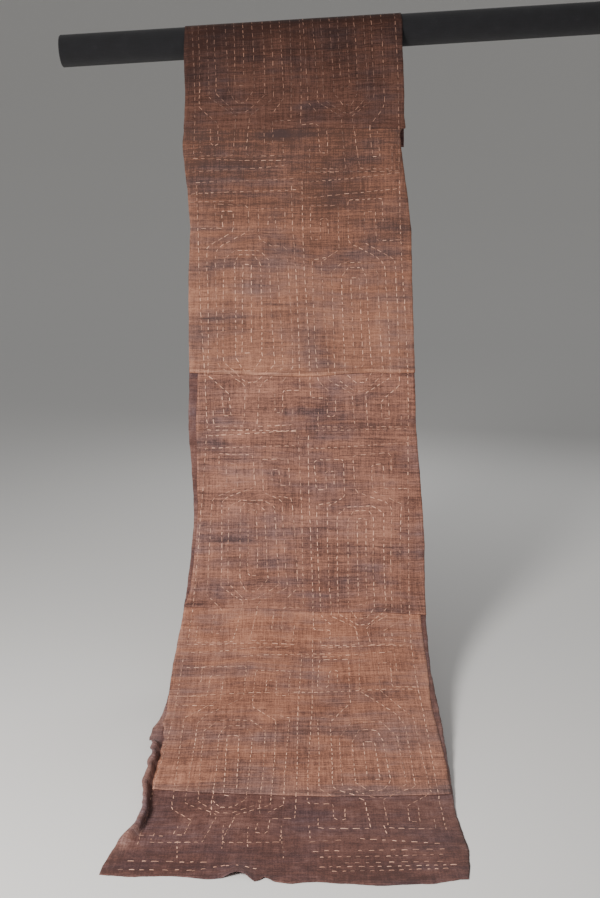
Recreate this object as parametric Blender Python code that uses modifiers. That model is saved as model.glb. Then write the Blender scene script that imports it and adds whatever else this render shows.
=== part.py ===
"""A long Kuba cloth that falls over a plain padded rod and runs out onto the floor.

Metres, +Z up. The cloth's face looks to -Y, the floor is z = 0 and the origin lies under the middle of the
whole part. A place on the cloth is given by its distance across, to the right of the middle, and its
distance along from the fold over the rod: below zero behind the rod, above zero down the front.
"""
import math

import bmesh
import bpy
import numpy as np
from mathutils import Matrix, Vector

# Cloth and rod
GROUND_THICKNESS = 0.0012
PANEL_THICKNESS = 0.0010
LAYER_GAP = 0.00035
ROD_RADIUS = 0.050
ROD_LEFT = -0.75
ROD_RIGHT = 1.00
ROD_TILT = math.radians(3.4)
ROD_SIDES = 40
ROD_EDGE = 0.003

# Where the cloth's middle crosses the rod, from the middle of the part's floor plan
ROD_X = -(ROD_LEFT + ROD_RIGHT) / 2 * math.cos(ROD_TILT)
ROD_Y = 0.9048

# Room on the rod: the gap, half the ground's thickness and the sag of its flats
WRAP_RADIUS = ROD_RADIUS + 0.0005 + GROUND_THICKNESS / 2
LEAVES_ROD = math.radians(15.0)

# Side shape: distance along, lean from the vertical in degrees
LEANS = (
    (-0.44, 180.0),
    (-WRAP_RADIUS * math.pi / 2, 180.0),
    (0.0, 90.0),
    (WRAP_RADIUS * (math.pi / 2 - LEAVES_ROD), math.degrees(LEAVES_ROD)),
    (0.65, 16.2),
    (1.30, 18.0),
    (1.57, 21.0),
    (1.69, 28.0),
    (1.79, 42.0),
    (1.93, 62.0),
    (2.15, 75.0),
    (2.45, 81.5),
    (2.75, 86.5),
    (2.90, 90.0),
    (3.15, 90.0),
)
SPINE_STEP = 0.001

# The rod's tilt dies out in the cloth between these distances from the fold
TILT_FULL = 0.07
TILT_GONE = 0.57

# Outline of the ground cloth laid flat: distance along, left edge, right edge
GROUND_EDGES = (
    (-0.430, -0.330, 0.361),
    (-0.080, -0.342, 0.348),
    (0.050, -0.343, 0.345),
    (0.150, -0.350, 0.340),
    (0.285, -0.348, 0.341),
    (0.388, -0.350, 0.341),
    (0.406, -0.351, 0.331),
    (0.455, -0.350, 0.336),
    (0.590, -0.331, 0.355),
    (0.720, -0.320, 0.367),
    (0.880, -0.324, 0.368),
    (1.180, -0.319, 0.373),
    (1.340, -0.320, 0.374),
    (1.500, -0.305, 0.385),
    (1.610, -0.298, 0.391),
    (1.690, -0.302, 0.393),
    (1.885, -0.314, 0.384),
    (2.045, -0.320, 0.379),
    (2.180, -0.324, 0.374),
    (2.315, -0.323, 0.376),
    (2.405, -0.333, 0.377),
    (2.445, -0.346, 0.376),
    (2.490, -0.349, 0.375),
    (2.520, -0.345, 0.374),
    (2.710, -0.347, 0.367),
    (2.770, -0.343, 0.363),
    (2.840, -0.337, 0.361),
    (2.900, -0.341, 0.365),
    (2.945, -0.356, 0.366),
    (2.978, -0.365, 0.368),
    (3.055, -0.375, 0.359),
    (3.120, -0.376, 0.346),
)

# How far each panel's side stops inside the ground's edge: distance along, left inset, right inset
PANEL_INSETS = {
    "panel_1": ((-0.36, 0.004, 0.006), (0.06, -0.002, -0.002), (0.35, -0.001, -0.002), (0.40, -0.001, -0.008)),
    "panel_2": ((0.35, 0.004, 0.004), (0.43, -0.001, -0.001), (1.13, -0.001, -0.001), (1.18, 0.002, -0.001)),
    "panel_3": ((1.15, 0.028, 0.002), (1.24, 0.026, -0.001), (1.40, 0.021, -0.001), (1.51, 0.013, -0.001),
                (1.68, 0.011, -0.001), (1.85, 0.012, -0.001), (1.94, 0.001, -0.001)),
    "panel_4": ((1.89, 0.003, 0.017), (2.05, -0.001, 0.012), (2.18, -0.001, 0.008), (2.315, 0.001, 0.017),
                (2.405, 0.015, 0.016), (2.445, 0.022, 0.013), (2.475, 0.032, 0.011), (2.61, 0.032, 0.005),
                (2.75, 0.030, 0.003)),
}

# Bands of rows down the cloth: end at the left edge, in the middle, at the right edge, rows in the band
TAIL_HEM = (-0.420, -0.422, -0.425)
BANDS = (
    ("tail", (-0.360, -0.360, -0.360), 1),
    ("rod back", (-0.088, -0.088, -0.088), 3),
    ("rod front", (0.074, 0.074, 0.074), 15),
    ("hem rise 1", (0.347, 0.353, 0.359), 4),
    ("top 2", (0.365, 0.371, 0.377), 1),
    ("seam 1", (0.385, 0.391, 0.397), 1),
    ("hem rise 2", (1.137, 1.142, 1.136), 8),
    ("top 3", (1.155, 1.160, 1.154), 1),
    ("seam 2", (1.175, 1.180, 1.174), 1),
    ("bend", (1.540, 1.550, 1.560), 4),
    ("hem rise 3", (1.870, 1.886, 1.902), 6),
    ("top 4", (1.888, 1.904, 1.920), 1),
    ("seam 3", (1.908, 1.924, 1.940), 1),
    ("sweep", (2.405, 2.408, 2.410), 7),
    ("curl start", (2.485, 2.487, 2.490), 2),
    ("curl crimp", (2.610, 2.610, 2.610), 5),
    ("seam 4", (2.714, 2.749, 2.744), 3),
    ("curl end", (2.950, 2.950, 2.950), 6),
    ("hem waves", (3.040, 3.050, 3.050), 3),
)
# Hem on the floor: distance across, distance along
HEM = (
    (-0.380, 3.073),
    (-0.303, 3.081),
    (-0.227, 3.077),
    (-0.160, 3.091),
    (-0.102, 3.078),
    (-0.050, 3.095),
    (0.004, 3.106),
    (0.054, 3.099),
    (0.168, 3.113),
    (0.278, 3.106),
    (0.335, 3.091),
)
HEM_ROWS = 2

# Places across the middle of the cloth, as shares of it from left to right
COLUMNS = (0.0, 0.08, 0.17, 0.25, 0.31, 0.35, 0.39, 0.44, 0.50, 0.58, 0.67, 0.76, 0.84, 0.92, 1.0)
LEFT_MARGIN = 0.030
RIGHT_MARGIN = 0.020
MARGIN_SHARES = (0.0, 0.28, 0.55, 0.80, 1.0)
HALF_WIDTH = 0.35
PANEL_EDGE_SHARE = 0.4

# The left edge curls up near the floor: distance along, share of the full curl
CURL = (
    (2.485, 0.0),
    (2.515, 0.45),
    (2.550, 1.0),
    (2.600, 0.75),
    (2.640, 0.90),
    (2.700, 0.85),
    (2.800, 1.0),
    (2.880, 1.0),
    (2.920, 0.75),
    (2.960, 0.0),
)
# Slope of the curled margin: distance from its foot, slope in degrees
CURL_SLOPES = ((0.0, 35.0), (0.004, 72.0), (0.018, 72.0), (0.024, 20.0), (0.031, -5.0))
CURL_STEPS = 20

# Low waves: across, along, half width, reach along, height
HEM_WAVES = (
    (-0.102, 3.095, 0.038, 0.110, 0.015),
    (-0.048, 3.105, 0.020, 0.060, 0.006),
)
RIPPLE_HEIGHT = 0.003
RIPPLE_LENGTH = 0.34
RIPPLE_FADES = ((0.08, 0.0), (0.45, 1.0), (2.05, 1.0), (2.70, 0.0))

PANELS = (
    ("panel_1", "tail", "seam 1"),
    ("panel_2", "top 2", "seam 2"),
    ("panel_3", "top 3", "seam 3"),
    ("panel_4", "top 4", "seam 4"),
)
COLOURS = {
    "ground_cloth": (0.095, 0.052, 0.042, 1.0),
    "panel_1": (0.200, 0.095, 0.062, 1.0),
    "panel_2": (0.230, 0.110, 0.072, 1.0),
    "panel_3": (0.215, 0.105, 0.075, 1.0),
    "panel_4": (0.255, 0.118, 0.074, 1.0),
    "rod": (0.012, 0.012, 0.014, 1.0),
}


def read_table(rows, where, column=1):
    """Value of one column of a table at a distance given by its first column."""
    return float(np.interp(where, [row[0] for row in rows], [row[column] for row in rows]))


def make_spine():
    """Side shape of the cloth's middle layer: distances along, y and z, with its floor stretch on z = 0."""
    along = np.arange(LEANS[0][0], LEANS[-1][0] + SPINE_STEP, SPINE_STEP)
    lean = np.radians(np.interp(along, [row[0] for row in LEANS], [row[1] for row in LEANS]))
    middle = (lean[1:] + lean[:-1]) / 2
    y = np.concatenate([[0.0], np.cumsum(-np.sin(middle)) * SPINE_STEP])
    z = np.concatenate([[0.0], np.cumsum(-np.cos(middle)) * SPINE_STEP])
    y -= np.interp(0.0, along, y)
    z -= z[-1] - GROUND_THICKNESS / 2
    return along, y, z, lean


SPINE_ALONG, SPINE_Y, SPINE_Z, SPINE_LEAN = make_spine()
ROD_HEIGHT = float(np.interp(0.0, SPINE_ALONG, SPINE_Z)) - WRAP_RADIUS


def tilt_at(along):
    """Turn of a row about the rod's middle: the rod's tilt at the fold, none further down."""
    share = min(max((abs(along) - TILT_FULL) / (TILT_GONE - TILT_FULL), 0.0), 1.0)
    return ROD_TILT * (1.0 - share * share * (3.0 - 2.0 * share))


def place(across, along, height):
    """World point at a place on the cloth, a height out from its ground layer."""
    lean = float(np.interp(along, SPINE_ALONG, SPINE_LEAN))
    y = float(np.interp(along, SPINE_ALONG, SPINE_Y)) - math.cos(lean) * height
    rise = float(np.interp(along, SPINE_ALONG, SPINE_Z)) + math.sin(lean) * height - ROD_HEIGHT
    tilt = tilt_at(along)
    x = across * math.cos(tilt) - rise * math.sin(tilt)
    return Vector((ROD_X + x, ROD_Y + y, ROD_HEIGHT + across * math.sin(tilt) + rise * math.cos(tilt)))


def wave(across, along):
    """Height of the gentle ripples down the front and of the waves at the hem."""
    fade = read_table(RIPPLE_FADES, along)
    height = RIPPLE_HEIGHT * fade * math.sin(math.tau * across / RIPPLE_LENGTH + 1.5 * along)
    for centre, end, half_width, reach, crest in HEM_WAVES:
        side = min(abs(across - centre) / half_width, 1.0)
        share = min(max((along - end + reach) / reach, 0.0), 1.0)
        height += crest * (0.5 + 0.5 * math.cos(math.pi * side)) * share * share
    return height


def curl_profile(distance, amount):
    """Width and height that the curled margin covers at a distance from its foot."""
    step = distance / CURL_STEPS
    width = 0.0
    height = 0.0
    for index in range(CURL_STEPS):
        slope = math.radians(read_table(CURL_SLOPES, (index + 0.5) * step)) * amount
        width += math.cos(slope) * step
        height += math.sin(slope) * step
    return width, height


def make_rows():
    """Rows down the cloth as (left, middle, right) distances along, and the index where each band ends."""
    rows = [TAIL_HEM]
    ends = {"tail hem": 0}
    for name, end, count in BANDS:
        start = rows[-1]
        for step in range(1, count + 1):
            rows.append(tuple(a + (b - a) * step / count for a, b in zip(start, end)))
        ends[name] = len(rows) - 1
    return rows, ends


def along_in_row(row, across):
    """Distance along at a place across a row: a curve through its left, middle and right values."""
    side = across / HALF_WIDTH
    left, middle, right = row
    return middle + (right - left) / 2 * side + ((left + right) / 2 - middle) * side * side


def edges_at(along):
    """Left and right edge of the ground cloth laid flat."""
    return read_table(GROUND_EDGES, along, 1), read_table(GROUND_EDGES, along, 2)


def row_spots(row, left, right, margins):
    """Places (across, along) across one row, between a sheet's own left and right edge."""
    ground_left, ground_right = edges_at(row[1])
    inner_left = ground_left + LEFT_MARGIN
    inner_right = ground_right - RIGHT_MARGIN
    inner = [inner_left + (inner_right - inner_left) * share for share in COLUMNS]
    if margins:
        outer = [left + (inner_left - left) * share for share in MARGIN_SHARES[:-1]]
    else:
        outer = [left]
        inner[0] = max(inner[0], left + (inner[1] - left) * PANEL_EDGE_SHARE)
    return [(across, along_in_row(row, across)) for across in outer + inner + [right]]


def surface_point(across, along, layer_height):
    """World point on the draped cloth: flat sheet, ripples, hem waves and the curled left margin."""
    ground_left, ground_right = edges_at(along)
    inner_left = ground_left + LEFT_MARGIN
    inner_right = ground_right - RIGHT_MARGIN
    height = layer_height + wave(min(max(across, inner_left), inner_right), along)
    amount = read_table(CURL, along)
    if amount > 0.0 and across < inner_left:
        width, rise = curl_profile(inner_left - across, amount)
        return place(inner_left - width, along, height + rise)
    return place(across, along, height)


def make_material(name):
    """Plain Principled material of a sub-part's colour."""
    material = bpy.data.materials.new(name + "_material")
    material.use_nodes = True
    shader = material.node_tree.nodes["Principled BSDF"]
    shader.inputs["Base Color"].default_value = COLOURS[name]
    shader.inputs["Roughness"].default_value = 0.85
    shader.inputs["Metallic"].default_value = 0.0
    material.diffuse_color = COLOURS[name]
    return material


def add_sheet(name, points, thickness, collection):
    """One sheet of cloth: a grid laid on the drape and given its thickness."""
    last_row = len(points) - 1
    last_column = len(points[0]) - 1
    sheet = bmesh.new()
    bmesh.ops.create_grid(sheet, x_segments=last_column, y_segments=last_row, size=0.5)
    for vertex in sheet.verts:
        column = round((vertex.co.x + 0.5) * last_column)
        row = round((vertex.co.y + 0.5) * last_row)
        vertex.co = points[row][column]
    mesh = bpy.data.meshes.new(name)
    sheet.to_mesh(mesh)
    sheet.free()
    cloth = bpy.data.objects.new(name, mesh)
    cloth.data.materials.append(make_material(name))
    collection.objects.link(cloth)
    solid = cloth.modifiers.new("thickness", "SOLIDIFY")
    solid.thickness = thickness
    solid.offset = 0.0
    solid.use_even_offset = True
    return cloth


def add_ground(rows, collection):
    """The dark cloth that runs the whole length, from its tail behind the rod to the hem on the floor."""
    points = []
    for row in rows:
        left, right = edges_at(row[1])
        spots = row_spots(row, left, right, True)
        points.append([surface_point(across, along, 0.0) for across, along in spots])
    left, right = edges_at(HEM[-1][1])
    last = row_spots(rows[-1], left, right, True)
    for step in range(1, HEM_ROWS + 1):
        share = step / HEM_ROWS
        line = []
        for across, along in last:
            end = along + (read_table(HEM, across) - along) * share
            line.append(surface_point(across, end, 0.0))
        points.append(line)
    return add_sheet("ground_cloth", points, GROUND_THICKNESS, collection)


def add_panel(name, first, last, rise_from, collection):
    """One panel, lapped at its lower hem over the top of the next panel."""
    layer = (GROUND_THICKNESS + PANEL_THICKNESS) / 2 + LAYER_GAP
    lift = PANEL_THICKNESS + LAYER_GAP
    points = []
    for index, row in enumerate(ROWS[first:last + 1], first):
        ground_left, ground_right = edges_at(row[1])
        left = ground_left + read_table(PANEL_INSETS[name], row[1], 1)
        right = ground_right - read_table(PANEL_INSETS[name], row[1], 2)
        height = layer + (lift if index > rise_from else 0.0)
        spots = row_spots(row, left, right, False)
        points.append([surface_point(across, along, height) for across, along in spots])
    return add_sheet(name, points, PANEL_THICKNESS, collection)


def add_rod(collection):
    """The plain padded rod, its right end the higher one."""
    length = ROD_RIGHT - ROD_LEFT
    shape = bmesh.new()
    bmesh.ops.create_cone(shape, cap_ends=True, segments=ROD_SIDES, radius1=ROD_RADIUS, radius2=ROD_RADIUS,
                          depth=length, matrix=Matrix.Rotation(math.pi / 2, 4, "Y"))
    mesh = bpy.data.meshes.new("rod")
    shape.to_mesh(mesh)
    shape.free()
    rod = bpy.data.objects.new("rod", mesh)
    rod.data.materials.append(make_material("rod"))
    collection.objects.link(rod)
    middle = (ROD_LEFT + ROD_RIGHT) / 2
    rod.location = (ROD_X + middle * math.cos(ROD_TILT), ROD_Y, ROD_HEIGHT + middle * math.sin(ROD_TILT))
    rod.rotation_euler = (0.0, -ROD_TILT, 0.0)
    edge = rod.modifiers.new("round edge", "BEVEL")
    edge.width = ROD_EDGE
    edge.segments = 1
    edge.limit_method = "ANGLE"
    edge.angle_limit = math.radians(60.0)
    return rod


for old in list(bpy.data.objects):
    bpy.data.objects.remove(old, do_unlink=True)

kuba_cloth = bpy.data.collections.new("kuba_cloth")
bpy.context.scene.collection.children.link(kuba_cloth)

ROWS, BAND_ENDS = make_rows()
add_rod(kuba_cloth)
add_ground(ROWS, kuba_cloth)
for number, (panel, top_band, hem_band) in enumerate(PANELS, 1):
    rise_band = BAND_ENDS.get("hem rise " + str(number), len(ROWS))
    add_panel(panel, BAND_ENDS[top_band], BAND_ENDS[hem_band], rise_band, kuba_cloth)
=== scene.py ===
"""Looks of the Kuba cloth over a plain padded rod.

Metres, +Z up. A place on the cloth is given, as in the solid model, by its distance across, to the right
of the middle, and its distance along from the fold over the rod: below zero behind the rod, above in front.
"""

import math
import random

import bpy
import numpy as np
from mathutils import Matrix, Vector


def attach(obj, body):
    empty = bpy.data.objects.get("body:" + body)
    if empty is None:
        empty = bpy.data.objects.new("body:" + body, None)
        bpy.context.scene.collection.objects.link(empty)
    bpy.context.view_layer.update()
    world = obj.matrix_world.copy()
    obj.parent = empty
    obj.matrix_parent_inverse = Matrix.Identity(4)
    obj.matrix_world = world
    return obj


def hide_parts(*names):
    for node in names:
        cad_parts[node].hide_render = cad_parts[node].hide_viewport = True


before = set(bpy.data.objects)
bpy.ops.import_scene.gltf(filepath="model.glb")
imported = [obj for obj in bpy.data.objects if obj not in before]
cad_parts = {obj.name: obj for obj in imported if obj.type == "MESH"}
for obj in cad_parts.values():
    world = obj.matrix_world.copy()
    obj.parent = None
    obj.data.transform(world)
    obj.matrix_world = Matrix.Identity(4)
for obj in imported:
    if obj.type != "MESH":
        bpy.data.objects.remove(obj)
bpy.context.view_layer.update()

# Cloth and rod, as in the solid model
GROUND_THICKNESS = 0.0012
PANEL_THICKNESS = 0.0010
LAYER_GAP = 0.00035
ROD_RADIUS = 0.050
ROD_LEFT = -0.75
ROD_RIGHT = 1.00
ROD_TILT = math.radians(3.4)
ROD_X = -(ROD_LEFT + ROD_RIGHT) / 2 * math.cos(ROD_TILT)
ROD_Y = 0.9048
WRAP_RADIUS = ROD_RADIUS + 0.0005 + GROUND_THICKNESS / 2
LEAVES_ROD = math.radians(15.0)

# Side shape: distance along, lean from the vertical in degrees
LEANS = (
    (-0.44, 180.0),
    (-WRAP_RADIUS * math.pi / 2, 180.0),
    (0.0, 90.0),
    (WRAP_RADIUS * (math.pi / 2 - LEAVES_ROD), math.degrees(LEAVES_ROD)),
    (0.65, 16.2),
    (1.30, 18.0),
    (1.57, 21.0),
    (1.69, 28.0),
    (1.79, 42.0),
    (1.93, 62.0),
    (2.15, 75.0),
    (2.45, 81.5),
    (2.75, 86.5),
    (2.90, 90.0),
    (3.15, 90.0),
)
SPINE_STEP = 0.001
TILT_FULL = 0.07
TILT_GONE = 0.57

# Outline of the ground cloth laid flat: distance along, left edge, right edge
GROUND_EDGES = (
    (-0.430, -0.330, 0.361), (-0.080, -0.342, 0.348), (0.050, -0.343, 0.345), (0.150, -0.350, 0.340),
    (0.285, -0.348, 0.341), (0.388, -0.350, 0.341), (0.406, -0.351, 0.331), (0.455, -0.350, 0.336),
    (0.590, -0.331, 0.355), (0.720, -0.320, 0.367), (0.880, -0.324, 0.368), (1.180, -0.319, 0.373),
    (1.340, -0.320, 0.374), (1.500, -0.305, 0.385), (1.610, -0.298, 0.391), (1.690, -0.302, 0.393),
    (1.885, -0.314, 0.384), (2.045, -0.320, 0.379), (2.180, -0.324, 0.374), (2.315, -0.323, 0.376),
    (2.405, -0.333, 0.377), (2.445, -0.346, 0.376), (2.490, -0.349, 0.375), (2.520, -0.345, 0.374),
    (2.710, -0.347, 0.367), (2.770, -0.343, 0.363), (2.840, -0.337, 0.361), (2.900, -0.341, 0.365),
    (2.945, -0.356, 0.366), (2.978, -0.365, 0.368), (3.055, -0.375, 0.359), (3.120, -0.376, 0.346),
)

# How far each panel's side stops inside the ground's edge: distance along, left inset, right inset
PANEL_INSETS = {
    "panel_1": ((-0.36, 0.004, 0.006), (0.06, -0.002, -0.002), (0.35, -0.001, -0.002),
                (0.40, -0.001, -0.008)),
    "panel_2": ((0.35, 0.004, 0.004), (0.43, -0.001, -0.001), (1.13, -0.001, -0.001),
                (1.18, 0.002, -0.001)),
    "panel_3": ((1.15, 0.028, 0.002), (1.24, 0.026, -0.001), (1.40, 0.021, -0.001), (1.51, 0.013, -0.001),
                (1.68, 0.011, -0.001), (1.85, 0.012, -0.001), (1.94, 0.001, -0.001)),
    "panel_4": ((1.89, 0.003, 0.017), (2.05, -0.001, 0.012), (2.18, -0.001, 0.008), (2.315, 0.001, 0.017),
                (2.405, 0.015, 0.016), (2.445, 0.022, 0.013), (2.475, 0.032, 0.011), (2.61, 0.032, 0.005),
                (2.75, 0.030, 0.003)),
}

# Where each panel starts, starts to rise over the next and ends: at its left edge, middle and right edge
PANEL_LINES = {
    "panel_1": ((-0.360, -0.360, -0.360), (0.347, 0.353, 0.359), (0.385, 0.391, 0.397)),
    "panel_2": ((0.365, 0.371, 0.377), (1.137, 1.142, 1.136), (1.175, 1.180, 1.174)),
    "panel_3": ((1.155, 1.160, 1.154), (1.870, 1.886, 1.902), (1.908, 1.924, 1.940)),
    "panel_4": ((1.888, 1.904, 1.920), None, (2.714, 2.749, 2.744)),
}

# Distance along of the tail's hem: at the left edge, in the middle, at the right edge
TAIL_HEM = (-0.420, -0.422, -0.425)

# Hem on the floor: distance across, distance along
HEM = (
    (-0.380, 3.073), (-0.303, 3.081), (-0.227, 3.077), (-0.160, 3.091),
    (-0.102, 3.078), (-0.086, 3.083), (-0.071, 3.098), (-0.062, 3.102),
    (-0.053, 3.085), (-0.044, 3.087), (-0.028, 3.099), (0.004, 3.106),
    (0.054, 3.099), (0.168, 3.113), (0.278, 3.106), (0.335, 3.091),
)
LEFT_MARGIN = 0.030
RIGHT_MARGIN = 0.020
HALF_WIDTH = 0.35

# The left edge curls up near the floor: distance along, share of the full curl
CURL = (
    (2.500, 0.0), (2.522, 0.70), (2.540, 0.95), (2.556, 0.60), (2.575, 0.92),
    (2.596, 1.0), (2.612, 0.72), (2.645, 0.95), (2.700, 0.85), (2.800, 1.0),
    (2.880, 1.0), (2.920, 0.75), (2.960, 0.0),
)
CURL_SLOPES = ((0.0, 20.0), (0.003, 75.0), (0.0190, 78.0), (0.0212, 15.0), (0.031, -20.0))
CURL_UNEVEN = 0.13
CURL_STEPS = 20

# Low waves at the hem: across, along, half width, reach along, height
HEM_WAVES = (
    (-0.102, 3.095, 0.038, 0.110, 0.015),
    (-0.048, 3.105, 0.020, 0.060, 0.006),
)
RIPPLE_HEIGHT = 0.003
RIPPLE_LENGTH = 0.34
RIPPLE_FADES = ((0.08, 0.0), (0.45, 1.0), (2.05, 1.0), (2.70, 0.0))

# How far a crease strays from its straight line, and how softly its ends fade
CREASE_WANDER = 0.004
CREASE_END = 0.03

# Creases: across and along of both ends, half width, depth. A negative depth is a ridge
CREASES = (
    (0.020, 0.090, 0.345, 0.075, 0.010, 0.0012), (0.110, 0.170, 0.300, 0.155, 0.007, 0.0008),
    (-0.340, 0.345, -0.040, 0.352, 0.008, 0.0008), (0.030, 0.490, 0.230, 0.470, 0.009, 0.0014),
    (-0.020, 0.672, 0.345, 0.664, 0.006, 0.0009), (0.060, 0.895, 0.240, 0.905, 0.007, 0.0010),
    (-0.300, 0.945, 0.350, 0.930, 0.007, 0.0013), (0.010, 1.068, 0.320, 1.070, 0.006, 0.0009),
    (0.190, 1.120, 0.350, 1.118, 0.007, 0.0010), (-0.310, 1.330, 0.020, 1.345, 0.009, 0.0010),
    (0.240, 1.500, 0.370, 1.505, 0.007, 0.0014), (-0.280, 1.676, 0.110, 1.738, 0.007, 0.0014),
    (-0.240, 1.705, 0.040, 1.728, 0.006, -0.0010), (0.090, 1.740, 0.380, 1.728, 0.008, 0.0011),
    (-0.290, 1.832, -0.160, 1.838, 0.006, 0.0012), (-0.010, 1.842, 0.370, 1.832, 0.007, 0.0012),
    (-0.250, 1.975, 0.360, 1.985, 0.008, 0.0011), (-0.130, 2.100, 0.120, 2.128, 0.008, 0.0012),
    (0.080, 2.262, 0.170, 2.252, 0.006, 0.0020), (-0.240, 2.440, 0.000, 2.462, 0.008, 0.0012),
    (0.060, 2.470, 0.320, 2.455, 0.007, 0.0012), (-0.250, 2.580, -0.110, 2.590, 0.007, 0.0008),
)

# Sags: across and along of the middle, half width, half length, depth. A negative depth is a swelling
SAGS = (
    (-0.150, 0.120, 0.090, 0.070, 0.0030), (0.180, 0.210, 0.080, 0.060, 0.0026),
    (-0.060, 0.560, 0.120, 0.060, 0.0022), (0.240, 0.620, 0.080, 0.060, -0.0022),
    (0.120, 0.940, 0.110, 0.090, 0.0030), (-0.240, 0.980, 0.070, 0.110, -0.0024),
    (-0.150, 1.400, 0.110, 0.080, 0.0026), (0.250, 1.440, 0.090, 0.090, -0.0022),
    (0.080, 1.640, 0.140, 0.060, 0.0030), (-0.190, 1.780, 0.090, 0.050, -0.0028),
    (0.240, 1.980, 0.120, 0.070, 0.0024), (-0.120, 2.170, 0.130, 0.080, -0.0024),
    (0.150, 2.400, 0.110, 0.070, 0.0026), (-0.180, 2.620, 0.100, 0.060, -0.0018),
)
SETTLE_FADES = ((-0.10, 0.0), (0.10, 0.4), (0.30, 1.0), (2.60, 1.0), (2.90, 0.0))

# Small unevenness of the cut edges and folded hems
EDGE_WOBBLE = 0.0011
PANEL_EDGE_SHARE = 0.6
HEM_WOBBLE = 0.0016
HEM_FOLD_WIDTH = 0.0075
HEM_FOLD_RISE = 0.0009
HEM_FOLD_EDGE = 0.0015
HEM_PUFF_PLACE = 0.0078
HEM_PUFF_WIDTH = 0.0068

# Length over which a panel rises onto the next one's upper end
LAP_RISE = 0.008

# How far a panel's hem puffs out, and its way up and down: distance across, shift along
HEM_PUFFS = {"panel_1": 0.0004, "panel_2": 0.0085, "panel_3": 0.0014, "panel_4": 0.0018}
HEM_SHIFTS = {
    "panel_1": ((-0.35, 0.0), (-0.10, 0.002), (0.12, -0.002), (0.35, 0.0)),
    "panel_2": ((-0.32, -0.004), (-0.15, -0.004), (-0.05, 0.002), (0.02, 0.004), (0.09, 0.001),
                (0.17, -0.006), (0.25, -0.007), (0.33, -0.002)),
    "panel_3": ((-0.31, 0.0), (-0.12, -0.002), (0.05, 0.002), (0.22, -0.002), (0.38, 0.001)),
    "panel_4": ((-0.31, 0.0), (-0.22, 0.003), (-0.10, -0.002), (0.10, 0.002), (0.25, -0.001),
                (0.36, 0.0)),
}

# How far in from the edges a sheet is worn pale, and how far up from the hem its paler band reaches, partly
# wear and partly painted highlight
WORN_EDGE = 0.006
HEM_WEAR_AND_HIGHLIGHT_REACH = 0.009

# Upper limit of what the slope down the cloth adds to the tone of a panel and of the ground
SLOPE_TOP = 0.06
GROUND_SLOPE_TOP = -0.03

# Tint of the greyest patches, how grey a sheet is on average and how that varies
PANEL_GREY = (0.64, 0.78, 1.02)
GROUND_GREY = (0.74, 0.86, 1.08)
GREYNESS = 0.26
GREY_BAND_WEIGHT = 1.8
GREY_CLOUD_WEIGHT = 3.0

# Raffia of each sheet: dark, middle and light colour, grey tint, seed of its streaks, their contrast, slope
# of the tone down the cloth, distance from the fold at which that slope is zero. Panel 1's darker colours and
# the darkening of panels 1 and 2 towards the fold are partly painted shade, for the light that falls off
# towards the top, and partly the cloth's own tone
RAFFIA = {
    "ground": ((0.069, 0.0286, 0.0236), (0.138, 0.0583, 0.0458), (0.234, 0.117, 0.094), GROUND_GREY,
               1.0, 0.80, -1.00, 2.84),
    "panel_1": ((0.056, 0.0222, 0.0156), (0.124, 0.0533, 0.0374), (0.211, 0.0955, 0.0664), PANEL_GREY,
                31.0, 0.85, 1.30, 0.27),
    "panel_2": ((0.116, 0.0530, 0.0370), (0.261, 0.113, 0.0733), (0.432, 0.198, 0.125), PANEL_GREY,
                47.0, 0.85, 0.74, 0.87),
    "panel_3": ((0.105, 0.0455, 0.0330), (0.236, 0.104, 0.0728), (0.400, 0.183, 0.124), PANEL_GREY,
                61.0, 1.02, 0.06, 1.55),
    "panel_4": ((0.140, 0.0577, 0.0392), (0.318, 0.135, 0.0860), (0.521, 0.234, 0.148), PANEL_GREY,
                79.0, 0.90, -0.16, 2.25),
}

# Painted shade above a panel's hem, as a greyer, darker band: where it starts, how fast it comes in and how
# much of it there is
HEM_SHADE_FROM = {"panel_4": 2.690}
HEM_SHADE_SLOPE = 30.0
HEM_SHADE_SHARE = 0.60

# Streaks of the weave: scale across, scale along, detail, offset, weight on the panels and on the ground
STREAKS = {
    "strip": (20.0, 520.0, 1.0, 0.0, 0.40, 0.28),
    "fine": (9.0, 265.0, 1.0, 3.1, 0.54, 0.34),
    "short": (60.0, 230.0, 1.0, 4.9, 0.52, 0.50),
    "line": (3.2, 135.0, 1.0, 4.3, 0.38, 0.16),
    "band": (1.8, 52.0, 2.0, 5.7, 0.38, 0.16),
    "broad": (1.3, 14.0, 2.0, 8.3, 0.30, 0.24),
    "warp": (270.0, 16.0, 1.0, 11.9, 0.58, 0.44),
    "column": (95.0, 4.5, 2.0, 14.1, 0.36, 0.24),
    "cloud": (7.0, 7.0, 4.0, 17.7, 0.74, 0.80),
    "grain": (260.0, 260.0, 1.0, 19.3, 0.65, 0.65),
    "mottle": (34.0, 48.0, 3.0, 21.1, 0.0, 0.85),
}

# Place of the weights in a row of the streaks
PANEL_WEAVE = 4
GROUND_WEAVE = 5

DARK_SLUB = 0.24
WARP_PITCH = 0.0019
WEFT_PITCH = 0.0016

# How far the threads of the weave drift across and along, and the scale of the noise that drives it
WEAVE_DRIFT = (0.014, 0.026, 0.0)
WEAVE_DRIFT_SCALE = 2.8

# How strongly the hems are paled, partly by wear and partly as painted highlight where the hem folds catch
# the light, and the painted highlight on the ground's left margin where the curl faces the light: distance
# along, share
HEM_WEAR_AND_HIGHLIGHT = {"ground": 1.0, "panel_1": 0.3, "panel_2": 1.8, "panel_3": 0.4, "panel_4": 0.3}
MARGIN_HIGHLIGHT = 2.3
MARGIN_HIGHLIGHT_STRETCH = ((1.80, 0.0), (2.30, 0.3), (2.40, 1.0), (2.93, 1.0), (3.02, 0.2))

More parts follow.
